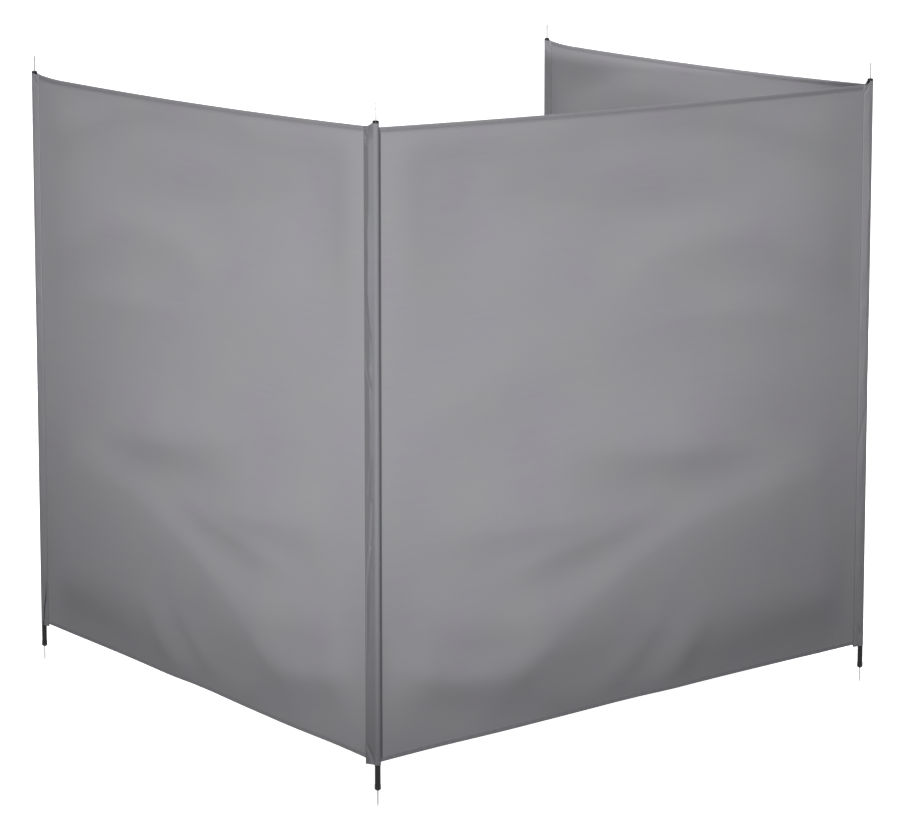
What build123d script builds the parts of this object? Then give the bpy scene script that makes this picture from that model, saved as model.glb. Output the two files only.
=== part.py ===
from build123d import *
from dataclasses import dataclass
from math import acos, cos, degrees, radians, sin
import os

# Beach windbreak: a long strip of cloth on slim steel poles that are pushed into the sand.
# Each pole stands in a pocket sewn across the strip, and the strip between two poles is a bay.
# Millimetres and degrees. The origin is on the axis of pole 2, at the flat underside of its
# foot: +X runs along the middle bay to pole 3, +Y points into the sheltered side, +Z is up.

# ---- overall layout ------------------------------------------------------------------------
POLE_HEIGHT = 1470.0            # from the foot's underside to the top of the cap
BAY_PITCH = 1667.0              # between the axes of neighbouring poles: 5 m in three bays
CORNER_2 = 77.0                 # angle between bay 1 and bay 2, seen from above
CORNER_3 = 108.1                # angle between bay 2 and bay 3
CLOSED_ANGLE = 65.0             # smallest angle that an end bay closes to against the middle one

# ---- poles ---------------------------------------------------------------------------------
TUBE_DIAMETER = 13.0
TUBE_WALL = 1.0
PLUG_CLEARANCE = 0.05           # between a plug's ribs and the tube's bore, on the radius
HEAD_OVERHANG = 0.6             # how far a cap or a foot stands proud of the tube's wall
RIB_DEPTH = 0.6                 # how far the ribs of a plug stand out of its core
RIB_WIDTH = 1.6
RIB_COUNT = 4

CAP_HEAD_HEIGHT = 9.0
CAP_CHAMFER = 1.5
CAP_PLUG_LENGTH = 20.0

FOOT_HEAD_HEIGHT = 13.0
FOOT_CHAMFER = 2.6              # it leaves a flat underside round the spike
FOOT_PLUG_LENGTH = 24.0

# ---- pins: the ground spike under the foot, and the guy line pin on the cap ----------------
PIN_DIAMETER = 4.0              # where it stands in the open
SHOULDER_WIDTH = 0.3            # by which its shank, inside the plastic, is thicker all round
SHANK_CLEARANCE = 0.05          # between a shank and its hole, on the radius
SPIKE_LENGTH = 40.0             # that stands out of the foot
SPIKE_POINT_LENGTH = 9.0
SPIKE_POINT_DIAMETER = 0.8
SPIKE_SEAT = 26.0               # length of its shank in the foot
TOP_PIN_LENGTH = 38.0           # that stands out of the cap
TOP_PIN_CHAMFER = 0.7
TOP_PIN_SEAT = 18.0             # length of its shank in the cap

# ---- cloth ---------------------------------------------------------------------------------
CLOTH_THICKNESS = 0.8           # of one layer, drawn thicker than the woven 0.3 mm
LAYER_CLEARANCE = 0.1           # between two layers that lie on each other
CLOTH_TOP_BELOW_CAP = 15.0      # from the cap's top to a bay's top edge, beside a pocket
CLOTH_BOTTOM = 62.0             # height of a bay's bottom edge where it meets a pocket
TOP_SAG = 6.0                   # how far the top edge hangs down in the middle of a bay
BOTTOM_ARCH = 5.0               # how far the bottom edge rises in the middle of a bay
CORNER_RISE = 8.0               # how far the top corner is pulled up at an end pole
CORNER_RUN = 150.0              # length of the top edge over which that rise happens
TOP_HEM_DEPTH = 11.0
BOTTOM_HEM_DEPTH = 9.0

# ---- pole pockets --------------------------------------------------------------------------
POCKET_CLEARANCE = 0.5          # between the pocket's lining and the cap or the tube
POCKET_TAIL = 29.0              # from the pole's axis to the edge of the seam
WIDE_POCKET_TAIL = 50.0         # the same on pole 2, whose pocket is the wide one
SEAM_WIDTH = 6.0
POCKET_TOP_BELOW_CAP = 6.0      # how far the cap's top stands out of the pocket
POCKET_BOTTOM_DROP = 5.0        # how far a pocket hangs below the bay's bottom edge
SEAM_CLEARANCE = 0.3            # between a pocket's seam and the cloth that is sewn to it
SWING_CLEARANCE = 0.3           # between a pocket and the hems beside it, at CLOSED_ANGLE
CUT_MARGIN = 3.0                # how far a cutting shape runs past what it cuts

# ---- worked out ----------------------------------------------------------------------------
tube_radius = TUBE_DIAMETER / 2
bore_radius = tube_radius - TUBE_WALL
head_radius = tube_radius + HEAD_OVERHANG
rib_radius = bore_radius - PLUG_CLEARANCE
core_radius = rib_radius - RIB_DEPTH
pin_radius = PIN_DIAMETER / 2
shank_radius = pin_radius + SHOULDER_WIDTH
hole_radius = shank_radius + SHANK_CLEARANCE
pocket_inner = head_radius + POCKET_CLEARANCE
pocket_outer = pocket_inner + CLOTH_THICKNESS
hem_slot = CLOTH_THICKNESS / 2 + LAYER_CLEARANCE
hem_half = hem_slot + CLOTH_THICKNESS
raw_edge = CLOTH_THICKNESS + LAYER_CLEARANCE
cloth_top = POLE_HEIGHT - CLOTH_TOP_BELOW_CAP
pocket_top = POLE_HEIGHT - POCKET_TOP_BELOW_CAP
pocket_bottom = CLOTH_BOTTOM - POCKET_BOTTOM_DROP
seam_radius = CLOTH_THICKNESS + LAYER_CLEARANCE / 2

bay_1_direction = Vector(cos(radians(CORNER_2)), sin(radians(CORNER_2)), 0)
bay_2_direction = Vector(1, 0, 0)
bay_3_direction = Vector(-cos(radians(CORNER_3)), sin(radians(CORNER_3)), 0)

pole_2 = Vector(0, 0, 0)
pole_1 = pole_2 + bay_1_direction * BAY_PITCH
pole_3 = pole_2 + bay_2_direction * BAY_PITCH
pole_4 = pole_3 + bay_3_direction * BAY_PITCH
poles = {1: pole_1, 2: pole_2, 3: pole_3, 4: pole_4}

# Each pocket's flat tail: the way it points, along the bay that its seam closes, and its length.
tails = {
    1: (-bay_1_direction, POCKET_TAIL),
    2: (bay_1_direction, WIDE_POCKET_TAIL),
    3: (-bay_2_direction, POCKET_TAIL),
    4: (-bay_3_direction, POCKET_TAIL),
}

# The height at which each pocket's top edge meets the hem; the end poles pull the corner up.
hem_ends = {
    1: cloth_top + CORNER_RISE,
    2: cloth_top,
    3: cloth_top,
    4: cloth_top + CORNER_RISE,
}


def level(foot, height, along=Vector(1, 0, 0)):
    """A level plane on a pole's axis at a height above its foot, x along a level direction."""
    return Plane(origin=foot + Vector(0, 0, height), x_dir=along, z_dir=(0, 0, 1))


def upright(foot, along):
    """An upright plane through a pole's axis: x along a level direction, y up."""
    return Plane(origin=foot, x_dir=along, z_dir=(along.Y, -along.X, 0))


def side_turn(radius, end_radius, end_at):
    """Angle from a teardrop's tail to the point where its straight side leaves the circle."""
    return degrees(acos((radius - end_radius) / end_at))


def swing_start(pole):
    """Distance from a pole's axis at which the cloth that swings against its pocket starts.

    At CLOSED_ANGLE the near corner of a hem faces the straight side of the pocket, and is
    SWING_CLEARANCE away from it.
    """
    tail_length = tails[pole][1]
    turn = side_turn(pocket_outer, seam_radius, tail_length - seam_radius)
    lean = radians(turn - CLOSED_ANGLE)
    return (pocket_outer + SWING_CLEARANCE + hem_half * sin(lean)) / cos(lean)


@dataclass
class Bay:
    """A strip of cloth from one pole to the next, with how it meets each pocket."""

    first_pole: int
    last_pole: int
    direction: Vector
    starts_at_seam: bool
    pulled_up: bool

    @property
    def plane(self):
        """The upright plane in the middle of the cloth's thickness."""
        return upright(poles[self.first_pole], self.direction)

    @property
    def near(self):
        """Where the cloth starts: past the pocket's seam, or past its round side."""
        if self.starts_at_seam:
            return tails[self.first_pole][1] + SEAM_CLEARANCE
        return swing_start(self.first_pole)

    @property
    def far(self):
        """Where the cloth ends, at the seam of the next pole's pocket."""
        return BAY_PITCH - tails[self.last_pole][1] - SEAM_CLEARANCE


bays = {
    1: Bay(2, 1, bay_1_direction, starts_at_seam=True, pulled_up=True),
    2: Bay(2, 3, bay_2_direction, starts_at_seam=False, pulled_up=False),
    3: Bay(3, 4, bay_3_direction, starts_at_seam=False, pulled_up=True),
}


def save(node, name):
    """Labels a finished piece and writes it to its own STEP file."""
    node.label = name
    export_step(node, f"parts/{name}.step")


def ribbed_plug(plane):
    """Section of a plug: a round core with ribs along it that bear on the tube's bore."""
    with BuildSketch(plane) as section:
        with PolarLocations(core_radius, RIB_COUNT):
            Rectangle(2 * RIB_DEPTH, RIB_WIDTH)
        Circle(rib_radius, mode=Mode.INTERSECT)
        Circle(core_radius)
    return section.sketch


def top_edge(bay, drop):
    """Top edge of a bay, lowered by drop: a shallow sag, pulled up where an end pole holds it."""
    height = cloth_top - drop
    knee = bay.far - CORNER_RUN if bay.pulled_up else bay.far
    middle = (bay.near + knee) / 2
    sag = ThreePointArc((bay.near, height), (middle, height - TOP_SAG), (knee, height))
    if bay.pulled_up:
        TangentArc(sag @ 1, (bay.far, height + CORNER_RISE), tangent=sag % 1)


def bottom_edge(bay, lift):
    """Bottom edge of a bay, raised by lift: the cloth is pulled down a little at its corners."""
    height = CLOTH_BOTTOM + lift
    middle = (bay.near + bay.far) / 2
    ThreePointArc((bay.near, height), (middle, height + BOTTOM_ARCH), (bay.far, height))


def top_height(bay, x, drop):
    """Height of the top edge at one of its two ends."""
    rise = CORNER_RISE if bay.pulled_up and x == bay.far else 0
    return cloth_top - drop + rise


def teardrop(radius, end_radius, end_at):
    """Outline round a pole, with straight sides that run to a small round end at the seam."""
    turn = side_turn(radius, end_radius, end_at)
    body = CenterArc((0, 0), radius, turn, 360 - 2 * turn)
    tip = CenterArc((end_at, 0), end_radius, -turn, 2 * turn)
    Line(body @ 0, tip @ 1)
    Line(body @ 1, tip @ 0)


def tube(foot):
    """Steel tube between the heads of the foot and the cap."""
    with BuildPart() as piece:
        with BuildSketch(level(foot, FOOT_HEAD_HEIGHT)):
            Circle(tube_radius)
            Circle(bore_radius, mode=Mode.SUBTRACT)
        extrude(amount=POLE_HEIGHT - FOOT_HEAD_HEIGHT - CAP_HEAD_HEIGHT)
    return piece.part


def cap(foot):
    """Moulded cap: a head with a chamfered top edge, a ribbed plug and the top pin's hole."""
    base = level(foot, POLE_HEIGHT - CAP_HEAD_HEIGHT)
    with BuildPart() as piece:
        with BuildSketch(base):
            Circle(head_radius)
        extrude(amount=CAP_HEAD_HEIGHT)
        chamfer(piece.edges().group_by(Axis.Z)[-1], length=CAP_CHAMFER)
        extrude(ribbed_plug(base), amount=-CAP_PLUG_LENGTH)
        with BuildSketch(level(foot, POLE_HEIGHT)):
            Circle(hole_radius)
        extrude(amount=-TOP_PIN_SEAT, mode=Mode.SUBTRACT)
    return piece.part


def pin(foot):
    """Round pin for a guy line's eye: a shank seated in the cap, and a chamfered top end."""
    with BuildPart() as piece:
        with BuildSketch(level(foot, POLE_HEIGHT - TOP_PIN_SEAT)):
            Circle(shank_radius)
        extrude(amount=TOP_PIN_SEAT)
        with BuildSketch(level(foot, POLE_HEIGHT)):
            Circle(pin_radius)
        extrude(amount=TOP_PIN_LENGTH)
        chamfer(piece.edges().group_by(Axis.Z)[-1], length=TOP_PIN_CHAMFER)
    return piece.part


def foot_plug(foot):
    """Moulded foot: a head with a chamfered bottom edge, a ribbed plug and the spike's hole."""
    with BuildPart() as piece:
        with BuildSketch(level(foot, 0)):
            Circle(head_radius)
        extrude(amount=FOOT_HEAD_HEIGHT)
        chamfer(piece.edges().group_by(Axis.Z)[0], length=FOOT_CHAMFER)
        extrude(ribbed_plug(level(foot, FOOT_HEAD_HEIGHT)), amount=FOOT_PLUG_LENGTH)
        with BuildSketch(level(foot, 0)):
            Circle(hole_radius)
        extrude(amount=SPIKE_SEAT, mode=Mode.SUBTRACT)
    return piece.part


def spike(foot):
    """Ground spike: a round bar seated in the foot, with a long point."""
    with BuildPart() as piece:
        with BuildSketch(upright(foot, bay_2_direction)):
            with BuildLine():
                Polyline(
                    (0, SPIKE_SEAT),
                    (shank_radius, SPIKE_SEAT),
                    (shank_radius, 0),
                    (pin_radius, 0),
                    (pin_radius, SPIKE_POINT_LENGTH - SPIKE_LENGTH),
                    (SPIKE_POINT_DIAMETER / 2, -SPIKE_LENGTH),
                    (0, -SPIKE_LENGTH),
                    close=True,
                )
            make_face()
        revolve(axis=Axis(foot, (0, 0, 1)))
    return piece.part


def pocket(foot, tail, tail_length, hem_end):
    """Sleeve of cloth round a pole, closed by a seam, whose top climbs from the hem to the cap."""
    section = level(foot, pocket_bottom, tail)
    with BuildPart() as piece:
        with BuildSketch(section):
            with BuildLine():
                teardrop(pocket_outer, seam_radius, tail_length - seam_radius)
            make_face()
        extrude(amount=pocket_top - pocket_bottom)
        with BuildSketch(section):
            with BuildLine():
                teardrop(pocket_inner, LAYER_CLEARANCE, tail_length - SEAM_WIDTH)
            make_face()
        extrude(amount=pocket_top - pocket_bottom, mode=Mode.SUBTRACT)
        with BuildSketch(upright(foot, tail)):
            with BuildLine():
                past = tail_length + CUT_MARGIN
                hem = Line((past, hem_end), (tail_length - SEAM_WIDTH, hem_end))
                climb = TangentArc(hem @ 1, (head_radius, pocket_top), tangent=(-1, 0))
                Polyline(
                    climb @ 1,
                    (head_radius, pocket_top + CUT_MARGIN),
                    (past, pocket_top + CUT_MARGIN),
                    hem @ 0,
                )
            make_face()
        extrude(amount=pocket_outer + CUT_MARGIN, both=True, mode=Mode.SUBTRACT)
    return piece.part


def panel(bay):
    """The flat cloth of a bay, between its two hems."""
    with BuildPart() as piece:
        with BuildSketch(bay.plane):
            with BuildLine():
                top_edge(bay, raw_edge)
                bottom_edge(bay, raw_edge)
                for x in (bay.near, bay.far):
                    Line((x, CLOTH_BOTTOM + raw_edge), (x, top_height(bay, x, raw_edge)))
            make_face()
        extrude(amount=CLOTH_THICKNESS / 2, both=True)
    return piece.part


def top_hem(bay):
    """Hem folded over the top edge: it follows the sag, with a slot that the panel fills."""
    with BuildPart() as piece:
        with BuildSketch(bay.plane):
            with BuildLine():
                top_edge(bay, 0)
                top_edge(bay, TOP_HEM_DEPTH)
                for x in (bay.near, bay.far):
                    Line((x, top_height(bay, x, 0)), (x, top_height(bay, x, TOP_HEM_DEPTH)))
            make_face()
        extrude(amount=hem_half, both=True)
        with BuildSketch(bay.plane):
            with BuildLine():
                below = TOP_HEM_DEPTH + CUT_MARGIN
                top_edge(bay, CLOTH_THICKNESS)
                top_edge(bay, below)
                for x in (bay.near, bay.far):
                    Line((x, top_height(bay, x, CLOTH_THICKNESS)), (x, top_height(bay, x, below)))
            make_face()
        extrude(amount=hem_slot, both=True, mode=Mode.SUBTRACT)
    return piece.part


def bottom_hem(bay):
    """Hem folded under the bottom edge, with a slot that the panel fills."""
    with BuildPart() as piece:
        with BuildSketch(bay.plane):
            with BuildLine():
                bottom_edge(bay, 0)
                bottom_edge(bay, BOTTOM_HEM_DEPTH)
                for x in (bay.near, bay.far):
                    Line((x, CLOTH_BOTTOM), (x, CLOTH_BOTTOM + BOTTOM_HEM_DEPTH))
            make_face()
        extrude(amount=hem_half, both=True)
        with BuildSketch(bay.plane):
            with BuildLine():
                above = BOTTOM_HEM_DEPTH + CUT_MARGIN
                bottom_edge(bay, CLOTH_THICKNESS)
                bottom_edge(bay, above)
                for x in (bay.near, bay.far):
                    Line((x, CLOTH_BOTTOM + CLOTH_THICKNESS), (x, CLOTH_BOTTOM + above))
            make_face()
        extrude(amount=hem_slot, both=True, mode=Mode.SUBTRACT)
    return piece.part


os.makedirs("parts", exist_ok=True)

for number, at in poles.items():
    save(tube(at), f"pole_{number}_tube")
    save(cap(at), f"pole_{number}_cap")
    save(pin(at), f"pole_{number}_pin")
    save(foot_plug(at), f"pole_{number}_foot")
    save(spike(at), f"pole_{number}_spike")
    save(pocket(at, *tails[number], hem_ends[number]), f"pocket_{number}")

for number, bay in bays.items():
    save(panel(bay), f"bay_{number}_panel")
    save(top_hem(bay), f"bay_{number}_top_hem")
    save(bottom_hem(bay), f"bay_{number}_bottom_hem")
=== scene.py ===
"""A beach windbreak: three bays of grey woven polyester on four thin steel poles.

The frame gives the poles, their caps, feet, pins and spikes. This script dresses those, and makes
the soft goods: each bay's cloth with its folds, the hems folded over its edges, the pockets sewn
round the poles, and every row of stitches. Lengths in the classes are millimetres.
"""

import logging
import math
from dataclasses import dataclass
from enum import Enum

import bpy
import numpy as np
from bpy.types import Material, Node, NodeSocket, NodeTree, Object
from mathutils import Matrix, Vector
from numpy import ndarray


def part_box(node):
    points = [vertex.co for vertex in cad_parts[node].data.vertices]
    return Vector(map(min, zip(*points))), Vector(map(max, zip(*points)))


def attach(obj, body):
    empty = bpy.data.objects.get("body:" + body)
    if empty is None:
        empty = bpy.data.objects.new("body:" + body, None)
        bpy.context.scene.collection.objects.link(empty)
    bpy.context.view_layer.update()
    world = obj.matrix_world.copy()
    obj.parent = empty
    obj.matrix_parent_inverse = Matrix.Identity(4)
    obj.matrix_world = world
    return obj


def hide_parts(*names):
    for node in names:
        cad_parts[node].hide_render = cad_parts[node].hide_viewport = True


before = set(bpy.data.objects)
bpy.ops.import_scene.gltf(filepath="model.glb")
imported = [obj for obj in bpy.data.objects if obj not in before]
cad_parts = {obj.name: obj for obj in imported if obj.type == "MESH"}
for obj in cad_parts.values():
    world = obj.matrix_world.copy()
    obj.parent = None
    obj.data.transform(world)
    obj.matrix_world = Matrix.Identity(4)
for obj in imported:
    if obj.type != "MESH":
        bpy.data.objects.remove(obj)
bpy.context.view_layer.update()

MM = 0.001
UV_NAME = "cloth"
POLES = (1, 2, 3, 4)
WHITE = (1.0, 1.0, 1.0, 1.0)
log = logging.getLogger("windbreak")
Grids = tuple[ndarray, ndarray, ndarray]


# ---- small tools ---------------------------------------------------------------------------
def linear(code: str) -> tuple[float, float, float, float]:
    """Turns an sRGB hex colour into linear red, green, blue and alpha.

    Args:
        code: The colour, as "#rrggbb".

    Returns:
        The four values that a shader's colour socket takes.
    """
    steps = np.array([int(code[i:i + 2], 16) for i in (1, 3, 5)]) / 255
    values = np.where(steps <= 0.04045, steps / 12.92, ((steps + 0.055) / 1.055) ** 2.4)
    return (*values.tolist(), 1.0)


def smoothstep(share: ndarray) -> ndarray:
    """The curve 3t² - 2t³, held at 0 before t = 0 and at 1 after t = 1."""
    t = np.clip(share, 0.0, 1.0)
    return t * t * (3.0 - 2.0 * t)


def bell(away: ndarray, width: float | ndarray) -> ndarray:
    """The bell curve of a distance, which is 1 at no distance."""
    return np.exp(-((away / width) ** 2))


def feed(tree: NodeTree, node: Node, inputs: dict) -> None:
    """Gives a node's inputs, by name or number, values, or sockets or nodes that feed them."""
    for key, value in inputs.items():
        if isinstance(value, Node):
            value = value.outputs[0]
        if isinstance(value, NodeSocket):
            tree.links.new(value, node.inputs[key])
        else:
            node.inputs[key].default_value = value


def add_node(tree: NodeTree, kind: str, inputs: dict | None = None, **settings: object) -> Node:
    """Adds a node with its settings and links.

    Args:
        tree: The node tree that gets it.
        kind: The node's type, such as "ShaderNodeBump".
        inputs: For each input's name or number, its value, or the socket or node that feeds it.
        **settings: The node's own properties.

    Returns:
        The new node.
    """
    node = tree.nodes.new(kind)
    for name, value in settings.items():
        setattr(node, name, value)
    feed(tree, node, inputs or {})
    return node


# ---- meshes --------------------------------------------------------------------------------
@dataclass
class Surface:
    """A closed mesh worked out as arrays.

    Args:
        points: Every point, one row each.
        faces: Arrays of corner numbers, one row for each face; each array has its own width.
        uv: Where each point lies on the flat cloth, in metres.
    """

    points: ndarray
    faces: list[ndarray]
    uv: ndarray

    def turned_outwards(self) -> "Surface":
        """Gives the surface with its faces turned so that it holds a positive volume.

        The volume is the sum, over the triangles, of a sixth of the corners' box product.
        """
        centred = self.points - self.points.mean(0)
        volume = 0.0
        for face in self.faces:
            for k in range(1, face.shape[1] - 1):
                a, b, c = (centred[face[:, j]] for j in (0, k, k + 1))
                volume += float((a * np.cross(b, c)).sum()) / 6
        if volume < 0:
            return Surface(self.points, [face[:, ::-1] for face in self.faces], self.uv)
        return self

    def piece(self, name: str, material: Material, crease: float = 50.0) -> Object:
        """Puts the surface into a Blender object.

        Args:
            name: The object's name.
            material: Its finish.
            crease: Edges that bend more than this many degrees are shaded sharp.

        Returns:
            The object, which sits at the origin with its place in its mesh.
        """
        shape = self.turned_outwards()
        mesh = bpy.data.meshes.new(name)
        corners = np.concatenate([face.ravel() for face in shape.faces])
        widths = np.concatenate([np.full(len(face), face.shape[1]) for face in shape.faces])
        starts = np.concatenate([[0], np.cumsum(widths)[:-1]])
        mesh.vertices.add(len(shape.points))
        mesh.vertices.foreach_set("co", shape.points.astype(np.float32).ravel())
        mesh.loops.add(len(corners))
        mesh.loops.foreach_set("vertex_index", corners.astype(np.int32))
        mesh.polygons.add(len(widths))
        mesh.polygons.foreach_set("loop_start", starts.astype(np.int32))
        mesh.polygons.foreach_set("use_smooth", np.ones(len(widths), bool))
        mesh.update(calc_edges=True)
        layer = mesh.uv_layers.new(name=UV_NAME)
        layer.data.foreach_set("uv", shape.uv[corners].astype(np.float32).ravel())
        mesh.set_sharp_from_angle(angle=math.radians(crease))
        mesh.materials.append(material)
        made = bpy.data.objects.new(name, mesh)
        bpy.context.scene.collection.objects.link(made)
        return made


def grid_quads(rows: int, columns: int, wrap: bool = False) -> ndarray:
    """Numbers the quads of a grid of points stored row by row.

    Args:
        rows: How many rows of points.
        columns: How many points a row has.
        wrap: Whether the last column joins the first one.

    Returns:
        Four corner numbers for each quad.
    """
    row, column = np.meshgrid(np.arange(rows - 1), np.arange(columns if wrap else columns - 1),
                              indexing="ij")
    right = (column + 1) % columns
    below = (row + 1) * columns
    quads = [row * columns + column, row * columns + right, below + right, below + column]
    return np.stack(quads, -1).reshape(-1, 4)


def strip_quads(first: ndarray, second: ndarray) -> ndarray:
    """Joins two closed loops of equally many points by a ring of quads."""
    return np.stack([np.roll(first, -1), first, second, np.roll(second, -1)], -1)


def closed_walls(outer: ndarray, inner: ndarray, uv: ndarray, wrap: bool) -> Surface:
    """Closes a sheet or a sleeve whose two walls are grids of the same shape.

    Args:
        outer: Points of one wall, as rows by columns by 3.
        inner: Points of the other wall, in the same order.
        uv: Place of each grid point on the flat cloth, rows by columns by 2.
        wrap: Whether each row is a closed loop, as in a sleeve, which has a rim at each end; a
            sheet has one rim round its border.

    Returns:
        The closed surface.
    """
    rows, columns = outer.shape[:2]
    count = rows * columns
    first = np.arange(columns)
    last = count - columns + first
    if wrap:
        rims = [strip_quads(first, first + count), strip_quads(last, last + count)[:, ::-1]]
    else:
        down = np.arange(rows - 1) * columns
        border = np.concatenate([first[:-1], down + columns - 1, last[:0:-1],
                                 (down + columns)[::-1]])
        rims = [strip_quads(border, border + count)]
    quads = grid_quads(rows, columns, wrap)
    faces = np.concatenate([quads, quads[:, ::-1] + count, *rims])
    points = np.concatenate([outer.reshape(-1, 3), inner.reshape(-1, 3)])
    flat = uv.reshape(-1, 2)
    return Surface(points, [faces], np.concatenate([flat, flat]))


def closed_bar(loops: ndarray, uv: ndarray) -> Surface:
    """Closes a bar swept along a path: each row is its outline, and a flat face shuts each end.

    Args:
        loops: Points of the outlines, as rows by columns by 3.
        uv: Place of each point on the flat cloth.

    Returns:
        The closed surface.
    """
    rows, columns = loops.shape[:2]
    first = np.arange(columns)[None]
    last = first + (rows - 1) * columns
    faces = [grid_quads(rows, columns, wrap=True), first[:, ::-1], last]
    return Surface(loops.reshape(-1, 3), faces, uv.reshape(-1, 2))


# ---- finishes ------------------------------------------------------------------------------
def new_material(name: str) -> tuple[Material, NodeTree, Node]:
    """Makes an empty material with a Principled shader joined to its output.

    Args:
        name: The material's name.

    Returns:
        The material, its node tree and the shader.
    """
    material = bpy.data.materials.new(name)
    material.use_nodes = True
    tree = material.node_tree
    tree.nodes.clear()
    shader = add_node(tree, "ShaderNodeBsdfPrincipled")
    add_node(tree, "ShaderNodeOutputMaterial", {"Surface": shader})
    return material, tree, shader


class Layers(Enum):
    """What a piece of cloth is made of: its material's name, and its colour.

    Daylight comes through one layer and less through two, so the hems' and pockets' colours are
    darker: painted shade. The wide sleeve's colour is darker still, painted shade of the corner at
    pole 2. The near-black colour of the bar along a gaping seam is painted shade inside the slit,
    and the binding's dark colour is painted shade of the line beside a pocket.
    """

    SINGLE = ("polyester_plain_weave_grey", "#959498")
    # Painted shade: darker than one layer, for the daylight that a hem's two layers stop.
    FOLDED = ("polyester_plain_weave_grey_folded_painted_shade", "#848387")
    # Painted shade: darker still, for two layers and for the shade of the corner at pole 2.
    SLEEVE = ("polyester_plain_weave_grey_sleeve_painted_shade", "#757579")
    # Painted shade: darker than one layer, for the daylight that a pocket's two layers stop.
    NARROW = ("polyester_plain_weave_grey_pocket_painted_shade", "#8a898d")
    # Painted shade: a near-black bar where a seam gapes, for the shade inside the slit.
    RAW = ("polyester_plain_weave_slit_shade_bar", "#2b2a2e")
    # Painted shade: the binding's dark colour paints the shaded line beside a pocket.
    SHADED_BINDING = ("polyester_binding_painted_shade", "#666569")


@dataclass(frozen=True)
class WovenPolyester:
    """Plain woven polyester, dyed grey and calendered: matt, with a faint sheen at the edges.

    Its yarn has slubs, which show as faint level streaks.

    Args:
        layers: What the piece is made of.
        thread: Spacing of the weave. The real one, 0.35 mm, is too fine to show, so the weave is
            drawn four times as coarse.
        slub_length: Length of a thick place in the yarn.
        slub_height: Spacing of the streaks that the thick places make.
        tilt: How far the streaks run off level, in degrees.
        darker: By what the darker places multiply red, green, blue and alpha.
        lighter: The same for the lighter places.
    """

    layers: Layers
    thread: float = 1.4
    slub_length: float = 190.0
    slub_height: float = 9.0
    tilt: float = -2.5
    darker: tuple[float, ...] = (0.985, 0.955, 1.015, 1.0)
    lighter: tuple[float, ...] = (1.015, 1.045, 0.995, 1.0)

    def build(self) -> Material:
        """Makes the material: weave and slubs as bump, slubs and dye shade as colour.

        The weave's height is the product of two sines, across the warp and across the weft.
        """
        name, colour = self.layers.value
        material, tree, shader = new_material(name)
        uv = add_node(tree, "ShaderNodeUVMap", uv_map=UV_NAME).outputs["UV"]
        turned = add_node(tree, "ShaderNodeMapping",
                          {"Vector": uv, "Rotation": (0.0, 0.0, math.radians(self.tilt))})
        stretch = (1 / (self.slub_length * MM), 1 / (self.slub_height * MM), 1.0)
        slub_place = add_node(tree, "ShaderNodeVectorMath",
                              {0: turned, 1: stretch}, operation="MULTIPLY")
        slub = add_node(tree, "ShaderNodeTexNoise",
                        {"Vector": slub_place, "Scale": 1.0, "Detail": 3.0,
                         "Roughness": 0.6})
        shade = add_node(tree, "ShaderNodeTexNoise",
                         {"Vector": uv, "Scale": 5.0, "Detail": 2.0, "Roughness": 0.5})
        both = add_node(tree, "ShaderNodeMath",
                        {0: slub, 1: shade}, operation="ADD")
        share = add_node(tree, "ShaderNodeMapRange",
                         {"Value": both, "From Min": 0.6, "From Max": 1.4})
        dark, light = (tuple(c * k for c, k in zip(linear(colour), change))
                       for change in (self.darker, self.lighter))
        dye = add_node(tree, "ShaderNodeMix",
                       {"Factor": share, 6: dark, 7: light}, data_type="RGBA")
        weave_place = add_node(tree, "ShaderNodeVectorMath",
                               {0: uv, "Scale": math.pi / (self.thread * MM)}, operation="SCALE")
        waves = add_node(tree, "ShaderNodeVectorMath", {0: weave_place},
                         operation="SINE")
        split = add_node(tree, "ShaderNodeSeparateXYZ", {"Vector": waves})
        weave = add_node(tree, "ShaderNodeMath", {0: split.outputs["X"], 1: split.outputs["Y"]},
                         operation="MULTIPLY")
        weave_bump = add_node(tree, "ShaderNodeBump", {
            "Height": weave, "Strength": 0.25, "Distance": 0.15 * MM})
        slub_bump = add_node(tree, "ShaderNodeBump", {
            "Height": slub, "Strength": 0.5, "Distance": 0.12 * MM,
            "Normal": weave_bump})
        feed(tree, shader, {
            "Base Color": dye.outputs[2], "Normal": slub_bump,
            "Roughness": 0.78, "IOR": 1.5, "Specular IOR Level": 0.15, "Sheen Weight": 0.03,
            "Sheen Roughness": 0.5})
        return material


@dataclass(frozen=True)
class SewingThread:
    """Spun polyester sewing thread, a shade darker than the cloth: matt and slightly hairy."""

    name: str = "sewing_thread_spun_polyester"
    colour: str = "#6b696e"
    ply: float = 0.8

    def build(self) -> Material:
        """Makes the material: the ply's twist as a fine bump along the thread."""
        material, tree, shader = new_material(self.name)
        uv = add_node(tree, "ShaderNodeUVMap", uv_map=UV_NAME).outputs["UV"]
        ply = add_node(tree, "ShaderNodeTexWave",
                       {"Vector": uv, "Scale": 1 / (self.ply * MM) / 20, "Distortion": 1.0},
                       bands_direction="DIAGONAL")
        bump = add_node(tree, "ShaderNodeBump", {
            "Height": ply.outputs["Fac"], "Strength": 0.5, "Distance": 0.1 * MM})
        feed(tree, shader, {"Base Color": linear(self.colour), "Normal": bump,
                            "Roughness": 0.7, "Sheen Weight": 0.2})
        return material


@dataclass(frozen=True)
class Texture:
    """A texture laid on a pole's part by the part's own coordinates.

    Args:
        kind: The type of its node.
        scale: Scale along x, y and z; a small one along z draws marks that run up the pole.
        detail: How many finer layers it has.
    """

    kind: str
    scale: tuple[float, float, float]
    detail: float


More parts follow.
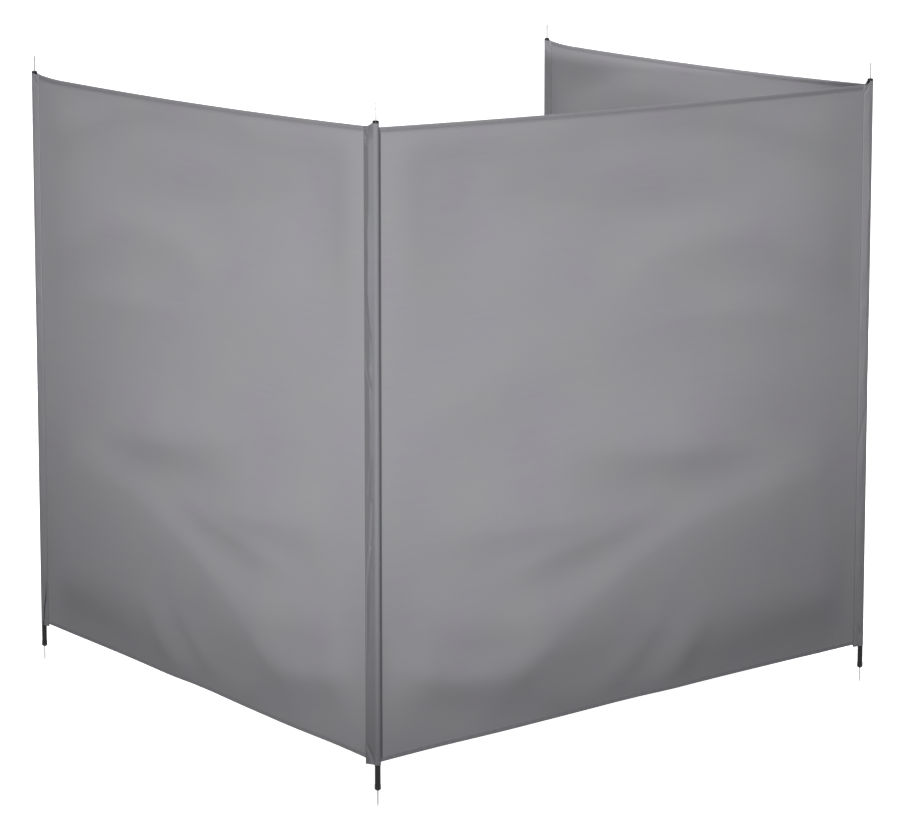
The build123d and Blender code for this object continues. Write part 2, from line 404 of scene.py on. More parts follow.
@dataclass(frozen=True)
class HardFinish:
    """A hard surface with a fine grain, and with patches that differ in gloss and in colour.

    Args:
        name: The material's name.
        colour: Its colour.
        grain: The grain.
        strength: How strongly the grain shows as bump.
        relief: The grain's height.
        patches: The patches.
        rough: Roughness at the patches' lowest and highest value.
        optics: The shader's other settings.
        patched: The colour in the patches, or none if they have the same.
        patch_edge: The values between which the patches' colour comes in.
    """

    name: str
    colour: str
    grain: Texture
    strength: float
    relief: float
    patches: Texture
    rough: tuple[float, float]
    optics: dict[str, float]
    patched: str | None = None
    patch_edge: tuple[float, float] = (0.0, 1.0)

    def build(self) -> Material:
        """Makes the material: the grain as bump, the patches as roughness and colour."""
        material, tree, shader = new_material(self.name)
        place = add_node(tree, "ShaderNodeTexCoord").outputs["Object"]
        textures = []
        for texture in (self.grain, self.patches):
            scaled = add_node(tree, "ShaderNodeMapping",
                              {"Vector": place, "Scale": texture.scale})
            textures.append(add_node(tree, texture.kind, {
                "Vector": scaled, "Scale": 1.0, "Detail": texture.detail}))
        bump = add_node(tree, "ShaderNodeBump", {
            "Height": textures[0], "Strength": self.strength, "Distance": self.relief * MM})
        rough = add_node(tree, "ShaderNodeMapRange", {
            "Value": textures[1], "To Min": self.rough[0], "To Max": self.rough[1]})
        colour = linear(self.colour)
        if self.patched:
            share = add_node(tree, "ShaderNodeMapRange", {
                "Value": textures[1], "From Min": self.patch_edge[0],
                "From Max": self.patch_edge[1]})
            colour = add_node(tree, "ShaderNodeMix", {
                "Factor": share, 6: colour, 7: linear(self.patched)},
                data_type="RGBA").outputs[2]
        feed(tree, shader, {"Base Color": colour, "Normal": bump,
                            "Roughness": rough, **self.optics})
        return material


# Black powder coat baked on steel tube: satin, with orange peel and rubbed streaks up the tube.
POWDER_COAT = HardFinish(
    "steel_tube_powder_coated_black", "#0f0f10",
    Texture("ShaderNodeTexNoise", (1 / (0.9 * MM),) * 3, 1.0), 0.3, 0.05,
    Texture("ShaderNodeTexNoise", (400.0, 400.0, 12.0), 3.0), (0.5, 0.36),
    {"Specular IOR Level": 0.22}, "#1c1c1e", (0.45, 0.75))
# Black nylon, injection moulded in a lightly spark-eroded tool: satin with a fine grain.
MOULDED_NYLON = HardFinish(
    "nylon_injection_moulded_black", "#0e0e0f",
    Texture("ShaderNodeTexVoronoi", (1 / (0.5 * MM),) * 3, 0.0), 0.35, 0.04,
    Texture("ShaderNodeTexNoise", (160.0, 160.0, 160.0), 2.0), (0.42, 0.6),
    {"IOR": 1.53, "Specular IOR Level": 0.25})
# Drawn steel rod, bright zinc plated: fine marks along its length, and duller patches.
ZINC_PLATED_STEEL = HardFinish(
    "steel_rod_zinc_plated", "#b0b1b3",
    Texture("ShaderNodeTexNoise", (1 / (0.25 * MM), 1 / (0.25 * MM), 40.0), 2.0), 0.1, 0.03,
    Texture("ShaderNodeTexNoise", (220.0, 220.0, 220.0), 4.0), (0.55, 0.65),
    {"Metallic": 1.0}, "#a5a6a8", (0.4, 0.65))


# ---- sewing --------------------------------------------------------------------------------
@dataclass(frozen=True)
class Axes:
    """What lengths are measured along: a pole's foot, the way along the cloth, and outwards."""

    foot: ndarray
    along: ndarray
    outward: ndarray

    def points(self, x: ndarray, out: ndarray, z: ndarray) -> ndarray:
        """Points of the frame, in metres, from distances along, outwards and up."""
        level = self.foot + (x * MM)[..., None] * self.along + (out * MM)[..., None] * self.outward
        return level + (z * MM)[..., None] * np.array([0.0, 0.0, 1.0])


@dataclass(frozen=True)
class Lockstitch:
    """A row of straight machine stitches.

    Args:
        pitch: From one needle hole to the next.
        length: How much of the thread shows between two holes.
        width: The thread's width, drawn a little wider than real so that a row shows.
        sides: Corners of the thread's section.
        shoulder: Share of a stitch's half length after which it dips.
        lift: How far it stands up, as a share of its radius.
        dip: How far its ends go down, as a share of its radius.
    """

    pitch: float = 4.6
    length: float = 3.4
    width: float = 0.75
    sides: int = 5
    shoulder: float = 0.62
    lift: float = 0.35
    dip: float = 0.5

    def row(self, path: ndarray, outward: ndarray) -> Surface:
        """Lays stitches along a path.

        A stitch is two rings of points round its line, shut at each end by a fan to one point;
        the line dips into the cloth at both ends.

        Args:
            path: Points on the cloth along the row.
            outward: For each of them, the way that the cloth faces.

        Returns:
            All the row's stitches as one surface.
        """
        steps = np.linalg.norm(np.diff(path, axis=0), axis=1)
        run = np.concatenate([[0.0], np.cumsum(steps)])
        count = int(run[-1] / (self.pitch * MM)) - 1
        at = (np.arange(count) + 1.0) * self.pitch * MM
        centre, after, up = (np.stack([np.interp(where, run, line[:, k]) for k in range(3)], -1)
                             for where, line in ((at, path), (at + MM, path), (at, outward)))
        ahead = after - centre
        ahead /= np.linalg.norm(ahead, axis=1)[:, None]
        side = np.cross(up, ahead)
        turn = 2 * np.pi * np.arange(self.sides) / self.sides
        radius, half = self.width * MM / 2, self.length * MM / 2
        round_it = (side[:, None] * np.cos(turn)[:, None]
                    + up[:, None] * np.sin(turn)[:, None]) * radius
        rings = [(centre + ahead * reach * half + up * self.lift * radius)[:, None] + round_it
                 for reach in (-self.shoulder, self.shoulder)]
        ends = [(centre + ahead * reach * half - up * radius * self.dip)[:, None]
                for reach in (-1.0, 1.0)]
        stitch = np.concatenate([ends[0], *rings, ends[1]], axis=1)
        n = self.sides
        near = 1 + np.arange(n)
        far = near + n
        fans = np.concatenate([
            np.stack([np.zeros(n, int), np.roll(near, -1), near], -1),
            np.stack([np.full(n, 2 * n + 1), far, np.roll(far, -1)], -1),
        ])
        sides = np.stack([near, np.roll(near, -1), np.roll(far, -1), far], -1)
        shift = (np.arange(count) * stitch.shape[1])[:, None, None]
        points = stitch.reshape(-1, 3)
        uv = np.stack([points @ ahead.mean(0), np.tile(np.arange(2 * n + 2) * MM, count)], -1)
        return Surface(points, [(fans[None] + shift).reshape(-1, 3),
                                (sides[None] + shift).reshape(-1, 4)], uv)

    def both_faces(self, axes: Axes, x: ndarray, middle: ndarray, half: float,
                   z: ndarray) -> list[Surface]:
        """Two rows, one on each face of the cloth.

        Args:
            axes: What the lengths are measured along.
            x: Distances along.
            middle: How far outwards the middle of the cloth is.
            half: How far each face stands off the middle.
            z: Heights.

        Returns:
            The two rows.
        """
        return [self.row(axes.points(x, middle + face * half, z),
                         np.tile(face * axes.outward, (len(x), 1))) for face in (-1.0, 1.0)]


def joined(parts: list[Surface]) -> Surface:
    """Puts several surfaces into one, each turned outwards first."""
    points, uv, faces, first = [], [], [], 0
    for part in (p.turned_outwards() for p in parts):
        points.append(part.points)
        uv.append(part.uv)
        faces += [face + first for face in part.faces]
        first += len(part.points)
    return Surface(np.concatenate(points), faces, np.concatenate(uv))


# ---- the shape of the cloth ----------------------------------------------------------------
@dataclass(frozen=True)
class Fold:
    """A soft ridge in the cloth that runs along a curve from an outer pole inwards.

    Each point is the distance from the inner pole and the height above the feet.

    Args:
        start: Where the ridge starts, near the outer pole.
        middle: A point that it goes through.
        end: Where it ends.
        depth: How far it stands out; a negative depth is a hollow.
        above: How far above the ridge the cloth comes back to flat.
        below: The same, below the ridge.
        fade_in: Share of the ridge's length over which it rises, from its end on the inner side.
        fade_out: The same, at its outer end.
    """

    start: tuple[float, float]
    middle: tuple[float, float]
    end: tuple[float, float]
    depth: float
    above: float
    below: float
    fade_in: float = 0.3
    fade_out: float = 0.3

    def height(self, x: ndarray, z: ndarray) -> ndarray:
        """How far the fold lifts the cloth.

        A parabola goes through the three points; the lift is the bell curve of the distance to
        it, with its own width on each side, times a smooth rise and fall along the ridge. A
        share of it is a narrower bell curve, which makes the crest crisper.

        Args:
            x: Distances from the inner pole.
            z: Heights above the feet.

        Returns:
            The lift outwards, in millimetres.
        """
        px, pz = np.array([self.start, self.middle, self.end]).T
        curve = np.polyfit(px, pz, 2)
        slope = np.polyval(np.polyder(curve), x)
        away = (z - np.polyval(curve, x)) / np.sqrt(1 + slope**2)
        width = np.where(away > 0, self.above, self.below)
        along = (x - px.min()) / np.ptp(px)
        grown = smoothstep(along / self.fade_in) * smoothstep((1 - along) / self.fade_out)
        crest = bell(away, CREST_WIDTH * width)
        return self.depth * grown * ((1 - CREST_SHARE) * bell(away, width)
                                     + CREST_SHARE * crest)


# How much of a fold is its crest, how wide that is against the fold, and by what number the
# depths of all the folds are multiplied.
CREST_SHARE = 0.16
CREST_WIDTH = 0.45
FOLD_GROWTH = 1.2
FOLDS = (
    # The long fold that the pull on the outer pole's foot draws across the lower half.
    Fold((1640, 475), (850, 395), (105, -85), 19.0, 115, 265, 0.27, 0.24),
    # The steep folds beside it, which end at the bottom hem.
    Fold((1620, 210), (1260, 185), (825, 60), 13.5, 210, 130, 0.22, 0.05),
    Fold((985, 330), (915, 250), (435, 170), 5.5, 65, 50, 0.23, 0.42),
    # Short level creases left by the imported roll.
    Fold((445, 725), (850, 655), (1450, 630), 17.5, 115, 85, 0.56, 0.49),
    Fold((290, 415), (605, 460), (1015, 545), 7.0, 65, 55, 0.36, 0.45),
    Fold((95, 565), (280, 540), (860, 535), 10.5, 110, 65, 0.55, 0.39),
    Fold((685, 1045), (1050, 1140), (1630, 975), 9.0, 145, 90, 0.44, 0.05),
    Fold((690, 930), (950, 950), (1615, 880), 3.0, 55, 50, 0.57, 0.37),
    Fold((910, 1510), (1175, 1415), (1640, 1315), 5.0, 95, 65, 0.4, 0.08),
    # The band under the top hem, which leans back, and the slack beside the inner pole.
    Fold((15, 1340), (350, 1265), (1440, 1175), -14.0, 135, 265, 0.22, 0.35),
    Fold((55, 380), (250, 325), (710, 365), 12.5, 115, 100, 0.45, 0.47),
    Fold((5, 290), (200, 210), (540, 225), 12.0, 70, 75, 0.12, 0.47),
    Fold((715, 150), (890, 105), (1105, 240), 6.0, 65, 45, 0.35, 0.35),
    Fold((500, 1465), (1055, 1425), (1485, 1270), -7.5, 70, 120, 0.22, 0.32),
)


@dataclass(frozen=True)
class Ripple:
    """Faint slack all over the cloth: a few level-ish waves with seeded directions.

    Args:
        depth: How far the waves stand out, all together.
        shortest: The shortest wavelength.
        longest: The longest wavelength.
        count: How many waves are added up.
        seed: Where the random draws start.
        stray: How far their directions stray from level, in radians.
    """

    depth: float
    shortest: float
    longest: float
    count: int
    seed: int
    stray: float = 0.30

    def height(self, x: ndarray, z: ndarray) -> ndarray:
        """The sum of sine waves, each across its own direction, in millimetres."""
        draw = np.random.default_rng(self.seed)
        total = np.zeros_like(x)
        for _ in range(self.count):
            length = draw.uniform(self.shortest, self.longest)
            lean = draw.normal(0.0, self.stray)
            phase = draw.uniform(0.0, 2 * np.pi)
            way = z * np.cos(lean) + x * np.sin(lean)
            total += np.sin(2 * np.pi * way / length + phase) * length / self.longest
        return self.depth * total / np.sqrt(self.count)


# ---- bays ----------------------------------------------------------------------------------
def pole_axis(number: int) -> ndarray:
    """Where a pole's axis meets the level of the feet, in metres."""
    low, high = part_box(f"pole_{number}_tube")
    return np.array([(low.x + high.x) / 2, (low.y + high.y) / 2, 0.0])


def cad_points(node: str) -> ndarray:
    """Every point of a CAD node, in metres."""
    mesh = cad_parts[node].data
    flat = np.empty(len(mesh.vertices) * 3, np.float32)
    mesh.vertices.foreach_get("co", flat)
    return flat.reshape(-1, 3).astype(float)


@dataclass
class Bay:
    """One bay: its cloth, the hems folded over its top and bottom edges, and their stitches.

    Args:
        number: The bay's number.
        body: The body that it moves with.
        inner: Number of the pole that its distances start at.
        outer: Number of the pole at its other end.
        pulled_up: Whether the outer pole pulls the top corner up.
        cloth: The finishes of the cloth.
        thread: Finish of the stitches.
    """

    number: int
    body: str
    inner: int
    outer: int
    pulled_up: bool
    cloth: dict[Layers, Material]
    thread: Material
    # Points across and up the cloth, and outlines along a hem.
    columns: int = 204
    rows: int = 166
    hem_columns: int = 330
    # The cloth: its thickness, how far it runs into a pocket, and how far it stays short of the
    # hems' folds and of the side binding's.
    thickness: float = 0.5
    tuck: float = 3.5
    inset: float = 1.2
    side_inset: float = 1.5
    # The hems: depths, half thickness, swell behind the fold, where and how much stitches pinch
    # and pucker them, and the slot for the cloth: half its width, its end behind the fold.
    top_hem: float = 11.0
    bottom_hem: float = 9.0
    hem_half: float = 1.25
    swelling: float = 0.35
    stitch_line: float = 2.2
    pinched: float = 0.40
    puckered: float = 0.05
    slot: float = 0.42
    slot_end: float = 1.1
    # Rows of stitches: how far they stay off the poles, and the points that they follow.
    stitch_margin: float = 2.0
    stitch_points: int = 400
    # The edges: the top one's sag, the bottom one's arch, and the climb of a pulled corner.
    sag: float = 6.0
    arch: float = 5.0
    corner_rise: float = 8.0
    corner_run: float = 150.0
    # Over what distance from the poles, the top edge and the bottom edge the folds come in.
    held: float = 160.0
    top_held: float = 100.0
    bottom_held: float = 180.0
    # The side binding: its start, half its width on the cloth, half its thickness, its ribs.
    binding_start: float = 7.7
    binding_half: float = 2.7
    binding_thick: float = 1.15
    rib: float = 0.10
    rib_pitch: float = 7.2

    def __post_init__(self) -> None:
        """Reads the bay's place from the poles and from its CAD panel and hems."""
        foot = pole_axis(self.inner)
        span = pole_axis(self.outer) - foot
        along = span / np.linalg.norm(span)
        middle = sum(pole_axis(n) for n in POLES) / len(POLES)
        side = np.array([along[1], -along[0], 0.0])
        self.axes = Axes(foot, along, side if (middle - foot) @ side < 0 else -side)
        reach = (cad_points(f"bay_{self.number}_panel") - foot) @ along / MM
        self.near, self.far = reach.min(), reach.max()
        # A side edge so close to the pole's axis isn't sewn into the seam of a pocket.
        self.free_side = self.near < 20.0
        self.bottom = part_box(f"bay_{self.number}_bottom_hem")[0].z / MM
        corner = self.corner_rise if self.pulled_up else 0.0
        self.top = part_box(f"bay_{self.number}_top_hem")[1].z / MM - corner

    def top_edge(self, x: ndarray) -> ndarray:
        """Height of the top edge: a parabola's sag, and a parabola's climb to a pulled corner."""
        knee = self.far - (self.corner_run if self.pulled_up else 0.0)
        share = np.clip((x - self.near) / (knee - self.near), 0.0, 1.0)
        climb = np.clip((x - knee) / self.corner_run, 0.0, None)
        rise = self.corner_rise * climb**2 if self.pulled_up else 0.0
        return self.top - 4 * self.sag * share * (1 - share) + rise

    def bottom_edge(self, x: ndarray) -> ndarray:
        """Height of the bottom edge: a parabola that is lowest at both corners."""
        share = np.clip((x - self.near) / (self.far - self.near), 0.0, 1.0)
        return self.bottom + 4 * self.arch * share * (1 - share)

    def inside(self, x: ndarray, at_top: bool, depth: ndarray | float) -> ndarray:
        """Height of the point that lies so deep below the top edge, or above the bottom edge."""
        return self.top_edge(x) - depth if at_top else self.bottom_edge(x) + depth

    def relief(self, x: ndarray, z: ndarray) -> ndarray:
        """How far the cloth stands out of the flat, in millimetres.

        The folds and the ripple are added up, and the sum fades to nothing near both poles and
        near the top edge, where the cloth is held, and to half at the bottom edge.
        """
        ripple = Ripple(depth=0.9, shortest=90.0, longest=420.0, count=14, seed=11 * self.number)
        lift = FOLD_GROWTH * sum(fold.height(x, z) for fold in FOLDS) + ripple.height(x, z)
        held = smoothstep((x - self.near) / self.held) * smoothstep((self.far - x) / self.held)
        loose_top = smoothstep((self.top_edge(x) - z) / self.top_held)
        loose_bottom = 0.5 + 0.5 * smoothstep((z - self.bottom_edge(x)) / self.bottom_held)
        return lift * held * loose_top * loose_bottom

    def panel(self) -> Surface:
        """The cloth: a grid from pole to pole and from edge to edge, with the relief.

        At the seams it runs a little into the pocket.
        """
        start = self.near + self.side_inset if self.free_side else self.near - self.tuck
        x = np.linspace(start, self.far + self.tuck, self.columns)
        x, share = np.meshgrid(x, np.linspace(0.0, 1.0, self.rows))
        low, high = (self.inside(x, at_top, self.inset) for at_top in (False, True))
        z = low + (high - low) * share
        out = self.relief(x, z)
        front, back = (self.axes.points(x, out + half, z)
                       for half in (self.thickness / 2, -self.thickness / 2))
        return closed_walls(front, back, np.stack([x, z], -1) * MM, wrap=False)

    def hem(self, at_top: bool) -> Surface:
        """A hem: the cloth's edge folded over a strip, swept along the edge.

        The outline's half width is a quarter circle at the fold, swells a little behind it, and
        is pinched at the stitches; the inside is a narrow slot that holds the panel. A small
        sum of sines along the hem puckers it between stitches.
        """
        depth = self.top_hem if at_top else self.bottom_hem
        down = np.concatenate([np.linspace(0.0, 1.0, 5) ** 1.6 * self.hem_half,
                               np.linspace(self.hem_half, depth, 8)[1:]])
        round_share = np.clip(1 - down / self.hem_half, 0.0, 1.0)
        swell_at, swell_width, pinch_width = 0.42 * depth, 2.2, 1.2
        flank = (self.hem_half * np.sqrt(1 - round_share**2)
                 + self.swelling * bell(down - swell_at, swell_width)
                 - self.pinched * bell(down - (depth - self.stitch_line), pinch_width))
        slot, end = self.slot, self.slot_end
        outline_out = np.concatenate([flank[::-1], -flank[1:], [-slot, -slot, slot, slot]])
        outline_down = np.concatenate([down[::-1], down[1:], [depth, end, end, depth]])
        x = np.linspace(self.near, self.far, self.hem_columns)
        x, down_all = np.meshgrid(x, outline_down, indexing="ij")
        out_all = np.broadcast_to(outline_out, x.shape)
        draw = np.random.default_rng(7 * self.number + at_top)
        pucker = sum(np.sin(2 * np.pi * x / draw.uniform(11, 38) + draw.uniform(0, 6.28))
                     for _ in range(5))
        outer_face = np.abs(out_all) > slot + 0.01
        wide = 1 + self.puckered * pucker * outer_face
        out = self.relief(x, self.inside(x, at_top, depth / 2)) + out_all * wide
        return closed_bar(self.axes.points(x, out, self.inside(x, at_top, down_all)),
                          np.stack([x, down_all + out_all], -1) * MM)

    def hem_stitches(self) -> Surface:
        """Rows of stitches on both faces of both hems."""
        rows = []
        x = np.linspace(self.near + self.stitch_margin, self.far - self.stitch_margin,
                        self.stitch_points)
        for at_top, depth in ((True, self.top_hem), (False, self.bottom_hem)):
            rows += Lockstitch().both_faces(
                self.axes, x, self.relief(x, self.inside(x, at_top, depth / 2)),
                self.hem_half - self.pinched, self.inside(x, at_top, depth - self.stitch_line))
        return joined(rows)

    def side_binding(self) -> Surface:
        """The narrow binding round the free side edge, ribbed by its overlock stitches; its dark
        colour is painted shade of the line beside the pocket.

        Its section is a flat ellipse, whose half thickness swells with the sine of the height.
        It stops a little short of the edges, and is thinner over the rounded part there.
        """
        short, rounded, corners = 1.0, 1.5, 12
        z = np.arange(self.bottom + short, self.top - short, self.rib_pitch / 4)
        z, turn = np.meshgrid(z, 2 * np.pi * np.arange(corners) / corners, indexing="ij")
        rib = self.rib * np.sin(2 * np.pi * z / self.rib_pitch)
        half = np.clip(np.minimum(z - self.bottom, self.top - z) / rounded, 0.5, 1.0)
        width = self.near + 2 * self.binding_half - self.binding_start
        x = self.binding_start + 0.5 * width * (1 - np.cos(turn))
        out = self.relief(x, z) + (half * self.binding_thick + rib) * np.sin(turn)
        return closed_bar(self.axes.points(x, out, z), np.stack([x + out, z], -1) * MM)

    def build(self) -> list[Object]:
        """Makes the bay's pieces, fixes them to the body that they ride on, and hides the CAD
        nodes that they replace.
        """
        name = f"bay_{self.number}"
        cloth = self.panel().piece(f"{name}_cloth", self.cloth[Layers.SINGLE])
        # The hems take the folded colour, painted shade for the light that two layers stop.
        top, bottom = (self.hem(at_top).piece(f"{name}_{part}_hem_cloth",
                                              self.cloth[Layers.FOLDED])
                       for at_top, part in ((True, "top"), (False, "bottom")))
        sewn_on = [top, bottom, self.hem_stitches().piece(f"{name}_hem_stitches", self.thread)]
        # The binding's dark colour is painted shade beside the pocket.
        if self.free_side:
            sewn_on.append(self.side_binding().piece(f"{name}_side_binding",
                                                     self.cloth[Layers.SHADED_BINDING]))
        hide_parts(f"{name}_panel")
        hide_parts(f"{name}_top_hem")
        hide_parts(f"{name}_bottom_hem")
        for made in (cloth, *sewn_on):
            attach(made, self.body)
        return [cloth, *sewn_on]


# ---- pockets -------------------------------------------------------------------------------
@dataclass(frozen=True)
class Pinch:
    """A short crease in a pocket, pressed in along a straight line.

    Args:
        start: Distance from the pole's axis and height of one end.
        end: The other end.
        depth: How far it is pressed in; a negative depth is a ridge.
        width: How wide it is.
    """

    start: tuple[float, float]
    end: tuple[float, float]
    depth: float
    width: float

    def height(self, x: ndarray, z: ndarray) -> ndarray:
        """The lift: minus the depth times the bell curve of the distance to the line."""
        a, b = np.array(self.start), np.array(self.end)
        run = b - a
        share = ((x - a[0]) * run[0] + (z - a[1]) * run[1]) / (run @ run)
        share = np.clip(share, 0.0, 1.0)
        away = np.hypot(x - a[0] - share * run[0], z - a[1] - share * run[1])
        return -self.depth * bell(away, self.width)


@dataclass(frozen=True)
class Bell:
    """A bell curve of the height, which says where a pocket is looser or tighter.

    Args:
        middle: The height at which it is greatest.
        reach: How far up and down it goes.
        size: Its greatest value.
    """

    middle: float
    reach: float
    size: float

    def at(self, z: ndarray) -> ndarray:
        """The curve's value at a height."""
        return self.size * bell(z - self.middle, self.reach)


@dataclass(frozen=True)
class Slack:
    """How loosely a pocket hangs round its pole.

    Args:
        ridge_at: Where the loose cloth of the outer face stands off in a ridge: how far along
            the tail, and how far outwards.
        looser: Where the ridge stands out more or less.
        wandering: Where the ridge lies further along the tail.
        wrinkles: Creases in the flat part.
        corner_drop: How far the corner at the seam hangs below the rest.
        rows: How many rows of faces the sleeve has.
        gap: Distances from the axis and heights of a line along which the seam gapes, where a
        near-black bar paints the shade inside the slit; none where the seam is closed.
    """

    ridge_at: tuple[float, float]
    looser: tuple[Bell, ...]
    wandering: tuple[Bell, ...]
    wrinkles: tuple[Pinch, ...]
    corner_drop: float
    rows: int
    gap: tuple[tuple[float, float], ...] = ()


# Where the pockets' rows are closer together.
CREASED = (Bell(1430, 40, 3.0), Bell(920, 60, 1.5), Bell(540, 150, 1.5), Bell(80, 50, 2.5))
WIDE_POCKET = Slack(
    (13.0, 5.6),
    (Bell(1190, 170, 5.4), Bell(1390, 60, 2.0), Bell(860, 110, 1.6), Bell(560, 110, -1.6),
     Bell(210, 190, 2.6)),
    (Bell(120, 210, 19.0),),
    (
        # Crossed creases in the corner below the top edge.
        Pinch((20, 1450), (46, 1420), 2.4, 3.0),
        Pinch((28, 1418), (44, 1440), 2.0, 2.6),
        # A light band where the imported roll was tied.
        Pinch((4, 935), (46, 915), -2.2, 14.0),
        Pinch((6, 880), (44, 960), 2.0, 4.5),
        Pinch((8, 990), (40, 1075), 1.8, 5.0),
        Pinch((10, 730), (30, 660), 2.0, 5.0),
        # A long crease from the pole down to the seam.
        Pinch((10, 640), (20, 540), 3.4, 4.5),
        Pinch((20, 540), (43, 440), 4.0, 5.0),
        Pinch((43, 440), (43, 110), 3.6, 7.0),
        Pinch((12, 330), (34, 290), 1.8, 5.0),
        # A tuck from the corner at the seam up to the pole.
        Pinch((10, 62), (45, 116), 3.0, 4.5),
        Pinch((16, 56), (46, 92), -3.0, 8.0),
    ),
    9.0,
    260,
)
NARROW_POCKET = Slack(
    (9.0, 4.6),
    (Bell(1180, 160, 1.8), Bell(420, 120, -0.8)),
    (Bell(400, 300, 3.0),),
    (
        Pinch((13, 1450), (28, 1430), 2.2, 2.8),
        Pinch((6, 930), (24, 900), -1.4, 12.0),
        Pinch((8, 640), (24, 560), 1.6, 4.5),
        Pinch((12, 60), (24, 98), -2.2, 4.5),
        Pinch((8, 84), (25, 120), 1.8, 4.0),
    ),
    1.0,
    160,
)
# The pocket whose seam gapes a little at its lower end, where a bar paints the slit's shade.
GAPING_POCKET = Slack(
    (9.0, 4.4),
    (Bell(1180, 160, 1.4), Bell(300, 160, 1.0)),
    (Bell(200, 300, 3.0),),
    (
        Pinch((10, 1448), (26, 1432), 1.8, 2.8),
        Pinch((6, 930), (24, 900), -1.4, 12.0),
    ),
    1.0,
    160,
    ((24.0, 175.0), (20.0, 130.0), (13.0, 95.0), (8.0, 58.0)),
)


